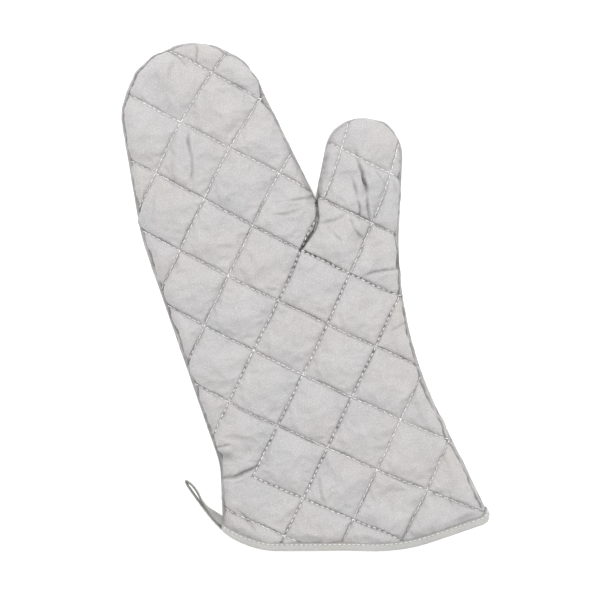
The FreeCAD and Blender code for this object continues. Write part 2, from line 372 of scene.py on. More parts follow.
def inside(points, loop):
    """Which points lie inside a closed polygon."""
    x, y = points[:, 0], points[:, 1]
    found = np.zeros(len(points), bool)
    for (x1, y1), (x2, y2) in zip(loop, np.roll(loop, -1, axis=0)):
        if y1 != y2:
            found ^= ((y1 > y) != (y2 > y)) & (x < (x2 - x1) * (y - y1) / (y2 - y1) + x1)
    return found


def ease(x, low, high):
    """0 below low, 1 above high, and a smooth step between."""
    t = np.clip((np.asarray(x, float) - low) / (high - low), 0, 1)
    return t * t * (3 - 2 * t)


def hill(x, width):
    """1 at 0, falling away smoothly over about a width to each side."""
    return np.exp(-(x / width) ** 2)


def ripple(points, scale, seed):
    """Smooth seeded noise of about unit size over the plan, its features about scale across."""
    lattice = np.random.default_rng(seed).normal(size=(64, 64))
    p = points / scale
    cell = np.floor(p).astype(int)
    f = p - cell
    f = f * f * (3 - 2 * f)
    x0, y0 = cell[:, 0] % 64, cell[:, 1] % 64
    x1, y1 = (x0 + 1) % 64, (y0 + 1) % 64
    low = lattice[x0, y0] * (1 - f[:, 0]) + lattice[x1, y0] * f[:, 0]
    high = lattice[x0, y1] * (1 - f[:, 0]) + lattice[x1, y1] * f[:, 0]
    return low * (1 - f[:, 1]) + high * f[:, 1]


def along_row(distance):
    """Points in a row, where ripple gives noise along a line."""
    return np.column_stack([distance, np.zeros(len(distance))])


def quilt_point(i, j, lean):
    """The net's points at cells (i, j), which may be fractions."""
    a, b = np.radians(QUILT_HEADING)
    along = np.multiply.outer(i, QUILT_PITCH[0] * np.array([math.cos(a), math.sin(a)]))
    down = np.multiply.outer(j, QUILT_PITCH[1] * np.array([math.cos(b), math.sin(b)]))
    bow = np.multiply.outer(np.maximum(i, 0) ** 2, QUILT_BOW)
    pull = np.multiply.outer(np.minimum(j, 0) ** 2, [lean, 0.0])
    p = QUILT_NODE + along + down + bow + pull
    return p + 0.5 * np.column_stack([ripple(p, 45, 3), ripple(p, 45, 4)])


def quilt_place(i, j):
    return quilt_point(np.array([i]), np.array([j]), 0)[0]


def to_lines(points, routes):
    """For each point: distance to the nearest stitch line, distance along it, and its side, +1 for left."""
    gap = np.full(len(points), 1e9)
    along = np.zeros(len(points))
    side = np.ones(len(points))
    for route in routes:
        chords = evenly(route, LINE_CHORD)
        near = ((points > chords.min(0) - LINE_REACH) & (points < chords.max(0) + LINE_REACH)).all(1)
        index = np.nonzero(near)[0]
        dist, at = nearest(points[index], chords)
        closer = dist < gap[index]
        index, dist, at = index[closer], dist[closer], at[closer]
        gap[index] = dist
        along[index] = at
        way = resample(chords, at + 0.5) - resample(chords, at - 0.5)
        rel = points[index] - resample(chords, at)
        side[index] = np.sign(way[:, 0] * rel[:, 1] - way[:, 1] * rel[:, 0])
    return gap, along, side


def kept_part(line, keep):
    """The stretch of a line where keep holds, as evenly spaced points, or nothing when it is too short."""
    fine = evenly(line, 0.25)
    mask = keep(fine)
    if mask.sum() < 20:
        return None
    last = len(mask) - np.argmax(mask[::-1])
    return evenly(fine[np.argmax(mask):last], PLAN_STEP)


side_edge = rounded_path(SIDE, PLAN_STEP)
crotch_at = closest(side_edge, CROTCH)
side_edge[crotch_at] = CROTCH
edge_inward = -left_of(tangents(side_edge))
hem_line = rounded_path(HEM, 0.5)
hem_length = arc_lengths(hem_line)[-1]
hem_stations = np.concatenate([END_STATIONS, np.arange(END_LENGTH, hem_length - END_LENGTH, PLAN_STEP),
                               hem_length - END_STATIONS[::-1]])


def cuff_rows():
    """Points along the hem, and at each the way up into the mitt: along the side seams at both ends."""
    at = resample(hem_line, hem_stations)
    near_start = (1 - ease(hem_stations, 0, CUFF_TURN))[:, None]
    near_end = ease(hem_stations, hem_length - CUFF_TURN, hem_length)[:, None]
    start_way, end_way = unit(np.array([side_edge[2] - side_edge[0], side_edge[-3] - side_edge[-1]]))
    up = left_of(tangents(at)) * (1 - near_start - near_end)
    return at, unit(up + (near_start * start_way + near_end * end_way))


hem_at, hem_up = cuff_rows()
panel_hem = hem_at + hem_up * HEM_FOLD
outline = np.vstack([panel_hem[:1], side_edge[1:-1], panel_hem[::-1][:-1]])


def in_mitt(points):
    return inside(points, outline) & (from_side(points) > 0.5)


def in_main(points):
    return in_mitt(points) & ~inside(points, thumb_outline)


def in_thumb(points):
    return in_mitt(points) & inside(points, thumb_outline)


def thumb_root():
    """The stitch line at the thumb's root, from the deep crease's end to the side seam."""
    i = np.linspace(THUMB_NODE[0], THUMB_ROOT_END, 200)
    line = kept_part(quilt_point(i, np.zeros(len(i)), 0), in_mitt)
    line[0] = knot
    return np.vstack([line[:-1], side_edge[closest(side_edge, line[-1])]])


# The sections part along the deep crease and the stitch line at the thumb's root.
knot = quilt_place(*THUMB_NODE)
deep_crease = rounded_path([(*CROTCH, 0), (*(CROTCH + (2, -19)), 22), (*knot, 0)], PLAN_STEP)
thumb_base = thumb_root()
split = np.vstack([deep_crease, thumb_base[1:]])
thumb_outline = np.vstack([side_edge[crotch_at:closest(side_edge, split[-1])], split[::-1]])


def run_between(low, high):
    cells = np.linspace(*WHOLE_RUN, 1200)
    return cells[(cells >= low) & (cells <= high)]


def row_line(row, run, lean, keep):
    cells = run_between(*run)
    return kept_part(quilt_point(cells, np.full(len(cells), row), lean), keep)


def column_line(column, run, lean, keep):
    cells = run_between(*run)
    return kept_part(quilt_point(np.full(len(cells), column), cells, lean), keep)


def quilt_lines():
    """Every stitch line of a panel, in plan, apart from the two that the mitt is cut apart at."""
    found = []
    for row in QUILT_ROWS:
        found.append(row_line(row, MAIN_ROW_RUNS.get(row, WHOLE_RUN), QUILT_LEAN, in_main))
        if row < 0:
            found.append(row_line(row, WHOLE_RUN, -QUILT_LEAN, in_thumb))
    for column in QUILT_COLUMNS:
        found.append(column_line(column, MAIN_COLUMN_RUNS.get(column, WHOLE_RUN), QUILT_LEAN, in_main))
        found.append(column_line(column, THUMB_COLUMN_RUNS.get(column, THUMB_RUN), -QUILT_LEAN, in_thumb))
    return [line for line in found if line is not None]


lines = quilt_lines()
all_lines = lines + [split]


def rail_points(border, routes):
    """Points on both sides of every stitch line, which keep its groove crisp."""
    rails = []
    for line in routes:
        across = left_of(tangents(line)) * RAIL
        rails += [line + across, line - across]
    rails = np.vstack(rails)
    rails = rails[inside(rails, border) & (to_lines(rails, routes)[0] > RAIL - 0.12)]
    return rails[(from_side(rails) > 1.3) & (nearest(rails, hem_line)[0] > 0.9)]


def ring_points(border, depths):
    """Points in rings inside the side seam, one ring at each depth."""
    rings = []
    for depth in depths:
        ring = side_edge + edge_inward * depth
        ring = ring[inside(ring, border)]
        rings.append(ring[np.abs(from_side(ring) - depth) < 0.1 * depth + 0.02])
    return np.vstack(rings)


def grid_points(border, step, margin):
    """Points of a triangle grid inside the border, further than margin from the side seam."""
    low, high = border.min(0), border.max(0)
    rows = []
    for k, y in enumerate(np.arange(low[1], high[1], step * math.sqrt(3) / 2)):
        x = np.arange(low[0] + (k % 2) * step / 2, high[0], step)
        rows.append(np.column_stack([x, np.full(len(x), y)]))
    grid = np.vstack(rows)
    grid = grid[inside(grid, border)]
    return grid[from_side(grid) > margin]


def spacing(points, others):
    """For each point, the distance to the closest of the others."""
    parts = np.array_split(points[:, None, :], max(1, len(points) // 500))
    return np.concatenate([np.sqrt(((part - others[None]) ** 2).sum(2)).min(1) for part in parts])


def plan_mesh(border, routes, rails, step, depths):
    """Triangles over the plan: border, stitch lines and their rails, seam rings, and a grid between."""
    count = len(border)
    links = [(i, (i + 1) % count) for i in range(count)]
    for line in routes:
        links += [(count + i, count + i + 1) for i in range(len(line) - 1)]
        count += len(line)
    fixed = np.vstack([border, *routes, rails])
    rings = ring_points(border, depths)
    free = np.vstack([rings, grid_points(border, step, depths[-1] + 0.6 * step)])
    room = np.where(np.arange(len(free)) < len(rings), 0.35, 0.55) * step
    free = free[spacing(free, fixed) > np.minimum(room, 0.5 * from_side(free) + 0.05)]
    points = [Vector(p) for p in np.vstack([fixed, free])]
    verts, _, faces, _, _, _ = delaunay_2d_cdt(points, links, [], 1, 0.03)
    return np.array([v[:] for v in verts]), np.array([f[:] for f in faces])


# ---- the height of the cloth over the plan ----
def rim_curve(depth, width, rise):
    """Height of the rolled edge at a depth inside the side seam."""
    u = np.clip(depth / width, 0, 1)
    return rise * (1 - (1 - u) ** RIM_POWER) ** (1 / RIM_POWER)


def rim_depths(width, rise):
    """Depths that divide the rolled edge evenly along its surface."""
    d = np.linspace(0, width, 400)
    s = arc_lengths(np.column_stack([d, rim_curve(d, width, rise)]))
    return np.interp(np.linspace(0, s[-1], RIM_RINGS + 1)[1:], s, d)


def mean_height(side, to_seam, to_hem):
    """The panel's outer surface before quilting, pinched at the hem and rolled at the side seam."""
    width, rise = RIM[side]
    z = rim_curve(to_seam, width, rise) + DOME[side] * ease(to_seam, 0.6 * width, width + DOME_REACH)
    z -= HEM_PINCH * (1 - ease(to_hem, 3, 14)) * ease(to_seam, 0, width)
    return SEAM_Z + SIGN[side] * z


def inner_height(side, to_seam):
    """The panel's inner surface, one thickness in from its outer one."""
    width, rise = RIM[side]
    z = rim_curve(np.maximum(to_seam - THICKNESS, 0), width - THICKNESS, rise - THICKNESS)
    z += DOME[side] * ease(to_seam, 0.6 * width, width + DOME_REACH)
    return SEAM_Z + SIGN[side] * np.maximum(z, 0.05)


def pillow_height(to_line, to_seam, to_hem):
    """0 on a stitch line, the seam and the binding's edge, rising to 1 in the middle of a diamond."""
    rise = 1 - np.exp(-(to_line / PILLOW_EDGE) ** 1.15)
    rise *= 1 - np.exp(-to_seam / 4.0)
    return rise * ease(to_hem, BINDING_WIDTH - 1, BINDING_WIDTH + 7)


# ---- meshes ----
def vertex_normals(verts, faces):
    a, b, c = verts[faces[:, 0]], verts[faces[:, 1]], verts[faces[:, 2]]
    n = np.cross(b - a, c - a)
    out = np.zeros_like(verts)
    for k in range(3):
        np.add.at(out, faces[:, k], n)
    return out / np.maximum(np.linalg.norm(out, axis=1), 1e-12)[:, None]


def face_edges(faces):
    """The three edges of every triangle, in its own direction: all firsts, all seconds, all thirds."""
    return np.vstack([faces[:, [0, 1]], faces[:, [1, 2]], faces[:, [2, 0]]])


def rim_edges(faces):
    """The edges that only one triangle has, in that triangle's direction."""
    edges = face_edges(faces)
    _, first, uses = np.unique(np.sort(edges, axis=1), axis=0, return_index=True, return_counts=True)
    return edges[first[uses == 1]]


def loop_subdivide(verts, faces, locked):
    """One round of Loop subdivision; edges between two locked vertices, and those vertices, stay put."""
    across = np.concatenate([faces[:, 2], faces[:, 0], faces[:, 1]])
    unique, index = np.unique(np.sort(face_edges(faces), axis=1), axis=0, return_inverse=True)
    index = index.ravel()
    count = np.bincount(index)
    far = np.zeros((len(unique), verts.shape[1]))
    np.add.at(far, index, verts[across])
    middle = (verts[unique[:, 0]] + verts[unique[:, 1]]) / 2
    soft = (count == 2) & ~(locked[unique[:, 0]] & locked[unique[:, 1]])
    middle[soft] = 0.75 * middle[soft] + 0.125 * far[soft]
    around = np.zeros_like(verts)
    degree = np.zeros(len(verts))
    for k in (0, 1):
        np.add.at(around, unique[:, k], verts[unique[:, 1 - k]])
        np.add.at(degree, unique[:, k], 1)
    weight = 0.375 * ~locked
    moved = verts * (1 - weight)[:, None] + around / degree[:, None] * weight[:, None]
    ab, bc, ca = np.split(index + len(verts), 3)
    a, b, c = faces.T
    quarters = ((a, ab, ca), (ab, b, bc), (ca, bc, c), (ab, bc, ca))
    return np.vstack([moved, middle]), np.vstack([np.column_stack(t) for t in quarters])


def used_only(verts, faces, *others):
    """Drops the vertices that no face uses."""
    used, index = np.unique(faces, return_inverse=True)
    return verts[used], index.reshape(faces.shape), *(other[used] for other in others)


def new_mesh(name, verts, faces, material=None, uv=None, shade=None):
    """An object from millimetre vertices, smooth shaded, with plan coordinates as its UVs."""
    mesh = bpy.data.meshes.new(name)
    faces = [tuple(int(v) for v in f) for f in faces]
    mesh.from_pydata([tuple(v) for v in np.asarray(verts) * MM], [], faces)
    mesh.polygons.foreach_set("use_smooth", [True] * len(mesh.polygons))
    if uv is not None:
        corner = np.empty(len(mesh.loops), int)
        mesh.loops.foreach_get("vertex_index", corner)
        mesh.uv_layers.new(name="plan").data.foreach_set("uv", (np.asarray(uv)[corner] * MM).ravel())
    if shade is not None:
        layer = mesh.attributes.new("shade", "FLOAT", "POINT")
        layer.data.foreach_set("value", np.asarray(shade, float))
    if material is not None:
        mesh.materials.append(material)
    mesh.update()
    thing = bpy.data.objects.new(name, mesh)
    bpy.context.scene.collection.objects.link(thing)
    return thing


def tree_of(verts, faces):
    return BVHTree.FromPolygons([Vector(v) for v in verts], faces.tolist())


def settle(verts, faces, pinned):
    """Cloth simulation of a panel under its batting's pressure."""
    thing = new_mesh("settling", verts, faces)
    pins = thing.vertex_groups.new(name="pins")
    pins.add([int(i) for i in np.nonzero(pinned)[0]], 1.0, "REPLACE")
    cloth = thing.modifiers.new("settle", "CLOTH")
    cloth.settings.quality = 5
    cloth.settings.mass = 0.15
    cloth.settings.tension_stiffness = 25
    cloth.settings.compression_stiffness = 25
    cloth.settings.shear_stiffness = 12
    cloth.settings.bending_stiffness = 0.4
    cloth.settings.use_pressure = True
    cloth.settings.uniform_pressure_force = BATTING_PRESSURE
    cloth.settings.shrink_min = CLOTH_SLACK
    cloth.settings.vertex_group_mass = "pins"
    cloth.settings.effector_weights.gravity = 0
    cloth.collision_settings.use_collision = False
    cloth.point_cache.frame_end = CLOTH_FRAMES
    for frame_number in range(1, CLOTH_FRAMES + 1):
        bpy.context.scene.frame_set(frame_number)
    settled = thing.evaluated_get(bpy.context.evaluated_depsgraph_get()).data
    out = np.empty(len(verts) * 3)
    settled.vertices.foreach_get("co", out)
    bpy.context.scene.frame_set(1)
    bpy.data.objects.remove(thing)
    move = out.reshape(-1, 3) / MM - verts
    size = np.linalg.norm(move, axis=1)
    return verts + move * np.minimum(1, CLOTH_CAP / np.maximum(size, 1e-9))[:, None]


# ---- materials ----
class Nodes:
    """Short ways to add and join shader nodes."""

    def __init__(self, name):
        self.material = bpy.data.materials.new(name)
        self.material.use_nodes = True
        self.tree = self.material.node_tree
        self.shader = self.tree.nodes["Principled BSDF"]

    def add(self, kind, values=None, **settings):
        node = self.tree.nodes.new(kind)
        for key, value in settings.items():
            setattr(node, key, value)
        for key, value in (values or {}).items():
            node.inputs[key].default_value = value
        return node

    def join(self, source, target):
        self.tree.links.new(source, target)

    def feed(self, socket, value):
        """Sets a socket to a constant or joins another node's output to it."""
        if isinstance(value, (int, float, tuple)):
            socket.default_value = value
        else:
            self.join(value, socket)

    def set(self, **values):
        """Sets the shader's own sockets; an underscore stands for a space."""
        for key, value in values.items():
            self.shader.inputs[key.replace("_", " ")].default_value = value

    def math(self, operation, a, b):
        node = self.add("ShaderNodeMath", operation=operation)
        self.feed(node.inputs[0], a)
        self.feed(node.inputs[1], b)
        return node.outputs[0]

    def mix(self, factor, a, b):
        node = self.add("ShaderNodeMix", data_type="RGBA")
        for socket, value in ((0, factor), (6, a), (7, b)):
            self.feed(node.inputs[socket], value)
        return node.outputs[2]

    def noise(self, where, scale, detail=3.0):
        node = self.add("ShaderNodeTexNoise", {"Scale": scale, "Detail": detail})
        self.join(where, node.inputs["Vector"])
        return node.outputs[0]

    def ramp(self, value, low, high, out_low=0.0, out_high=1.0):
        limits = {"From Min": low, "From Max": high, "To Min": out_low, "To Max": out_high}
        node = self.add("ShaderNodeMapRange", limits)
        self.join(value, node.inputs["Value"])
        return node.outputs[0]

    def bump(self, height, strength, distance_mm):
        node = self.add("ShaderNodeBump", {"Strength": strength, "Distance": distance_mm * MM})
        self.join(height, node.inputs["Height"])
        self.join(node.outputs[0], self.shader.inputs["Normal"])


def weave(nodes, where, thread_mm):
    """Height of a plain weave: two crossed rows of threads."""
    parts = nodes.add("ShaderNodeSeparateXYZ")
    nodes.join(where, parts.inputs[0])
    turns = 2 * math.pi / (thread_mm * MM)
    warp = nodes.math("SINE", nodes.math("MULTIPLY", parts.outputs[0], turns), 0.0)
    weft = nodes.math("SINE", nodes.math("MULTIPLY", parts.outputs[1], turns), 0.0)
    return nodes.math("MULTIPLY", warp, weft)


def cloth(name, tones, thread_mm, bump_mm, rough, sheen, specular):
    """Woven cloth: mottled colour, weave and fine wrinkles in the bump, and painted shade from the shade
    attribute in folds, stitch grooves and along rolled edges.
    """
    light, dark, warm, cool = [(*tone, 1) for tone in tones]
    nodes = Nodes(name)
    where = nodes.add("ShaderNodeUVMap", uv_map="plan").outputs[0]
    colour = nodes.mix(nodes.ramp(nodes.noise(where, 55, 4), 0.32, 0.68), dark, light)
    patch = nodes.noise(where, 21, 2)
    colour = nodes.mix(nodes.ramp(patch, 0.52, 0.72, 0, 0.6), colour, warm)
    colour = nodes.mix(nodes.ramp(patch, 0.48, 0.3, 0, 0.6), colour, cool)
    speck = nodes.noise(where, 1300, 2)
    colour = nodes.mix(nodes.ramp(speck, 0.45, 0.28, 0, 0.36), colour, (0.16, 0.16, 0.155, 1))
    colour = nodes.mix(nodes.ramp(speck, 0.56, 0.72, 0, 0.42), colour, (0.72, 0.72, 0.7, 1))
    # painted shade: the shade attribute darkens the colour towards near black in grooves, folds and rolled
    # edges, where shade falls
    shade = nodes.add("ShaderNodeAttribute", attribute_name="shade").outputs["Fac"]
    colour = nodes.mix(nodes.math("MULTIPLY", shade, 0.85), colour, (0.09, 0.09, 0.085, 1))
    nodes.join(colour, nodes.shader.inputs["Base Color"])
    fine = nodes.math("MULTIPLY", nodes.noise(where, 520, 4), 1.9)
    nodes.bump(nodes.math("ADD", nodes.math("MULTIPLY", weave(nodes, where, thread_mm), 0.5), fine),
               0.75, bump_mm)
    roughness = nodes.ramp(nodes.noise(where, 300, 2), 0.3, 0.7, rough - 0.07, rough + 0.07)
    nodes.join(roughness, nodes.shader.inputs["Roughness"])
    nodes.set(Sheen_Weight=sheen, Sheen_Roughness=0.5, Specular_IOR_Level=specular)
    return nodes.material


def thread_material():
    """Twisted polyester thread."""
    nodes = Nodes("sewing_thread")
    where = nodes.add("ShaderNodeTexCoord").outputs["Object"]
    mottle = nodes.ramp(nodes.noise(where, 260, 2), 0.35, 0.65)
    colour = nodes.mix(mottle, (0.6, 0.6, 0.585, 1), (0.76, 0.76, 0.745, 1))
    nodes.join(colour, nodes.shader.inputs["Base Color"])
    wave = nodes.add("ShaderNodeTexWave", {"Scale": 380.0, "Distortion": 1.0}, bands_direction="DIAGONAL")
    nodes.join(where, wave.inputs["Vector"])
    nodes.bump(wave.outputs[1], 0.5, 0.1)
    nodes.set(Roughness=0.55, Sheen_Weight=0.2)
    return nodes.material


coated = cloth("silver_coated_cotton", COATED_TONES, 0.62, 0.14, rough=0.5, sheen=0.15, specular=0.4)
tape = cloth("binding_tape_cotton", TAPE_TONES, 0.5, 0.12, rough=0.62, sheen=0.25, specular=0.3)
cotton = cloth("lining_cotton_weave", LINING_TONES, 0.8, 0.2, rough=0.85, sheen=0.4, specular=0.15)
thread = thread_material()


# ---- the two quilted panels ----
plan, plan_faces = plan_mesh(outline, all_lines, rail_points(outline, all_lines), PLAN_STEP,
                             rim_depths(*RIM["front"])[:7])
plan_gaps = (from_side(plan), nearest(plan, hem_line)[0], to_lines(plan, all_lines)[0])
plan_locked = (plan_gaps[0] < 0.02) | (plan_gaps[2] < 0.1)
fine_flat = loop_subdivide(plan, plan_faces, plan_locked)[0]
plan_edges = np.unique(np.sort(face_edges(plan_faces), axis=1), axis=0)
midpoints = {tuple(pair): len(plan) + k for k, pair in enumerate(plan_edges.tolist())}


def surface_places(flat):
    """Where each point lies against the seam, the hem, the stitch lines and the deep crease."""
    seam, seam_at = nearest(flat, side_edge)
    line_gap, along, line_side = to_lines(flat, all_lines)
    crease_gap, crease_at = nearest(flat, deep_crease)
    return SimpleNamespace(flat=flat, seam=seam, seam_at=seam_at, seam_row=along_row(seam_at),
                           hem=nearest(flat, hem_line)[0], line_gap=line_gap, along=along,
                           line_side=line_side, crease_gap=crease_gap, crease_at=crease_at)


def stitch_groove(at):
    """How deep the stitch lines lie: puckered at each stitch, and slacker on the thumb."""
    pucker = np.cos(2 * math.pi * at.along / STITCH_PITCH) + 0.7 * ripple(at.flat, 2.2, 61)
    off = at.line_gap * at.line_side + GROOVE_OFFSET * ripple(at.flat, 14, 62)
    groove = (GROOVE_DEPTH + 0.3 * pucker) * hill(off, GROOVE_WIDTH) * ease(at.seam, 0.0, 1.5)
    loose = ease((at.flat - CROTCH) @ TO_THUMB, 20, 45) * inside(at.flat, thumb_outline)
    return groove * (1 - THUMB_SLACK * loose) * (0.9 + 0.25 * ripple(at.flat, 50, 63))


def seam_roll(at):
    """How deep the line lies where the side seam rolls over."""
    inset = ROLL_INSET * (1 + 0.25 * ripple(at.seam_row, 16, 72))
    roll = (ROLL_DEPTH + 0.3 * ripple(at.seam_row, 9, 73)) * hill(at.seam - inset, ROLL_WIDTH)
    roll *= 1 + 0.45 * ripple(at.seam_row, 50, 74)
    return roll * ease(at.hem, BINDING_WIDTH, BINDING_WIDTH + 3)


def crease_depth(points, side):
    """How far every crease pushes the cloth in at each point, with the cloth standing up beside it."""
    total = np.zeros(len(points))
    for i, j, length, heading, bend, depth, width in CREASES[side]:
        a = math.radians(heading)
        rel = points - quilt_place(i, j)
        t = rel @ (math.cos(a), math.sin(a)) / (length / 2)
        off = rel @ (-math.sin(a), math.cos(a)) - bend * (1 - t * t) + 0.6 * ripple(points, 7, 81)
        fade = ease(1.25 - np.abs(t), 0, 0.8) * (0.85 + 0.3 * ripple(points, 8, 82))
        width = CREASE_WIDTH * width
        total += depth * fade * (0.75 * hill(off, width) - 0.25 * hill(off + 2.6 * width, 2.2 * width))
    return total


def wrinkles(at):
    height = sum(size * ripple(at.flat, scale, seed) for size, scale, seed in WRINKLES)
    return height * ease(at.line_gap, 0.3, 3) * ease(at.seam, 0.2, 3)


def edge_pull(at):
    """How each point near the side seam is drawn in by the stitch lines that end there."""
    pinch = EDGE_PINCH * hill(at.line_gap, 4.5) + 0.3 * ripple(at.seam_row, 8, 71)
    pinch *= hill(at.seam, 5) * ease(at.hem, BINDING_WIDTH, BINDING_WIDTH + 6)
    edge_arc = arc_lengths(side_edge)
    inward = np.column_stack([np.interp(at.seam_at, edge_arc, edge_inward[:, k]) for k in (0, 1)])
    return inward * pinch[:, None]


def crotch_trench(at):
    """How deep the crease lies that runs from the crotch into the palm side."""
    trench = TRENCH_DEPTH * hill(at.crease_gap, TRENCH_WIDTH)
    return trench * ease(at.crease_at, -1, 4) * (1 - 0.5 * ease(at.crease_at, 25, 43))


def padded_panel(side, at):
    """One side of the mitt: plan mesh, quilting, simulation, then its fine surface and details."""
    to_seam, to_hem, to_line = plan_gaps
    base = np.column_stack([plan, mean_height(side, to_seam, to_hem)])
    coarse = plan_faces if side == "front" else plan_faces[:, ::-1]
    puff = PILLOW[side] * pillow_height(to_line, to_seam, to_hem)
    shaped = base + vertex_normals(base, coarse) * puff[:, None]
    shaped = settle(shaped, coarse, plan_locked | (to_hem < BINDING_WIDTH - 0.5))
    verts, faces = loop_subdivide(shaped, coarse, plan_locked)
    normal = vertex_normals(verts, faces)
    groove, folds, roll = stitch_groove(at), crease_depth(at.flat, side), seam_roll(at)
    verts = verts + normal * (wrinkles(at) - groove - folds * ease(at.seam, 0, 3) - roll)[:, None]
    verts[:, :2] += edge_pull(at)
    if side == "front":
        trench = crotch_trench(at)
        verts[:, 2] -= trench
    else:
        trench = 0
        verts[:, 2] = np.maximum(verts[:, 2], FLOOR_GAP + 0.05 * ripple(at.flat, 5, 31))
    # painted shade: darker in the stitch grooves, the creases, the crotch trench, on the rolled seam line and
    # towards the side seam, where the cloth turns away from the light
    rim_shade = 0.85 * roll + 0.6 * hill(at.seam, 0.9) + 0.18 * hill(at.seam, 4.0)
    shade = np.clip(0.55 * groove + 0.36 * np.maximum(folds, 0) + 0.5 * trench + rim_shade, 0, 1)
    inner = np.column_stack([plan, inner_height(side, to_seam)])
    return SimpleNamespace(verts=verts, faces=faces, shade=shade, inner=inner, coarse=coarse)


def in_section(points, section):
    thumb = inside(points, thumb_outline)
    return thumb if section == "thumb" else ~thumb


def closed_panel(panel, section):
    """The outer surface of one section of a panel, closed by its inner surface and a wall between."""
    keep = in_section(plan[panel.coarse].mean(1), section)
    coarse = panel.coarse[keep]
    rim = rim_edges(coarse)
    middle = np.array([midpoints[tuple(sorted(pair))] for pair in rim.tolist()])
    start, end = rim.T
    outer_count = len(panel.verts)
    inner_start, inner_end = start + outer_count, end + outer_count
    corners = ((middle, start, inner_start), (inner_end, middle, inner_start), (end, middle, inner_end))
    wall = np.vstack([np.column_stack(corner) for corner in corners])
    verts = np.vstack([panel.verts, panel.inner])
    faces = np.vstack([panel.faces[np.tile(keep, 4)], coarse[:, ::-1] + outer_count, wall])
    shade = np.concatenate([panel.shade, np.zeros(len(plan))])
    return used_only(verts, faces, np.vstack([fine_flat, plan]), shade)


def section_bend(thing):
    """Bakes a finished piece's transform into its mesh."""
    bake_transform(thing)


def stand_for(section, layers):
    """Hides the CAD nodes that a piece replaces: each layer's part in this section."""
    parts = ("palm", "fingers") if section == "main" else ("thumb",)
    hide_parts(*[f"{layer}_{part}" for layer in layers for part in parts])


def panel_shell(side, section):
    verts, faces, flat, shade = closed_panel(panels[side], section)
    shell = new_mesh(f"{side}_panel_{section}", verts, faces, coated, flat, shade)
    section_bend(shell)
    stand_for(section, [f"{side}_shell", f"{side}_batting"])
    return shell


fine_places = surface_places(fine_flat)
panels = {side: padded_panel(side, fine_places) for side in SIGN}
surfaces = {side: tree_of(panel.verts, panel.faces) for side, panel in panels.items()}
shells = {(side, section): panel_shell(side, section) for side in SIGN for section in SECTIONS}


# ---- the binding: tape folded round the cuff's edge ----
def cuff_surface(side, depth):
    """Points on a panel's outer surface, depth up from the hem."""
    flat = hem_at + hem_up * depth
    to_seam = from_side(flat)
    to_seam[[0, -1]] = 0
    return np.column_stack([flat, mean_height(side, to_seam, np.full(len(flat), depth))])


def cuff_loop(depth):
    """The closed loop round the cuff on the outer surface, over the front and back along the back."""
    return np.vstack([cuff_surface("front", depth), cuff_surface("back", depth)[::-1][1:-1]])


def cuff_directions():
    up = np.vstack([hem_up, hem_up[::-1][1:-1]])
    up = np.column_stack([up, np.zeros(len(up))])
    ring = cuff_loop(3.0)
    return up, unit(np.cross(np.roll(ring, -1, axis=0) - np.roll(ring, 1, axis=0), up))


def thick_strip(rows, thickness):
    """A closed solid from a closed loop of cross-section rows: both faces and its two long edges."""
    count, columns, _ = rows.shape
    middle = rows.reshape(-1, 3)
    ring = np.arange(count) * columns
    after = np.roll(ring, -1)
    a = (ring[:, None] + np.arange(columns - 1)).ravel()
    b = (after[:, None] + np.arange(columns - 1)).ravel()
    quads = np.column_stack([a, a + 1, b + 1, b])
    normal = vertex_normals(middle, np.vstack([quads[:, [0, 1, 2]], quads[:, [0, 2, 3]]]))
    size = len(middle)
    last, last_after = ring + columns - 1, after + columns - 1
    walls = [np.column_stack([ring, after, after + size, ring + size]),
             np.column_stack([last, last + size, last_after + size, last_after])]
    verts = np.vstack([middle + normal * thickness / 2, middle - normal * thickness / 2])
    return verts, np.vstack([quads, quads[:, ::-1] + size] + walls)


def tape_profile():
    """Rows of points across the tape: down its outside, round the hem's edge and up its inside."""
    upper = BINDING_WIDTH - np.array([0, TOPSTITCH_INSET, 2.2])
    outer_leg = (*upper, 2.8, HEM_FOLD + 0.6, HEM_FOLD)
    profile = [cuff_loop(depth) + outward * TAPE_CLEAR for depth in outer_leg]
    for angle in np.linspace(0, math.pi, 9)[1:-1]:
        across = math.cos(angle) * (CUFF_THICKNESS / 2 + TAPE_CLEAR) - CUFF_THICKNESS / 2
        profile.append(edge_ring + outward * across - up * math.sin(angle) * (HEM_FOLD - BINDING / 2))
    for depth in np.linspace(HEM_FOLD, INNER_LEG, 6):
        profile.append(cuff_loop(depth) - outward * (CUFF_THICKNESS + TAPE_CLEAR))
    profile = np.stack(profile, axis=1)
    profile += (outward * tape_wave[:, None])[:, None, :]
    profile += (up * tape_sag[:, None])[:, None, :]
    profile[:, 1] -= outward * TOPSTITCH_DENT
    return profile


def cuff_binding():
    profile = tape_profile()
    verts, faces = thick_strip(profile, BINDING)
    shade = np.zeros(profile.shape[1])
    shade[:2] = 0.35, 0.4       # painted shade along its upper edge and the topstitch line
    shade = np.tile(shade, 2 * len(profile))
    binding = new_mesh("cuff_binding_tape", verts, faces, tape, verts[:, :2], shade)
    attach(binding, "palm_section")
    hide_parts("cuff_binding")


up, outward = cuff_directions()
edge_ring = cuff_loop(HEM_FOLD)
ring_row = along_row(arc_lengths(edge_ring))
tape_wave = 0.16 * ripple(ring_row, 7, 41) + 0.1 * ripple(ring_row, 3, 42)
tape_sag = 0.3 * ripple(ring_row, 24, 43)
cuff_binding()


# ---- linings ----
def inset_line(depth):
    """The side edge moved inwards, without the stretches that would cross over at the crotch."""
    moved = side_edge + edge_inward * depth
    return moved[(from_side(moved) > depth - 0.05) & inside(moved, outline)]


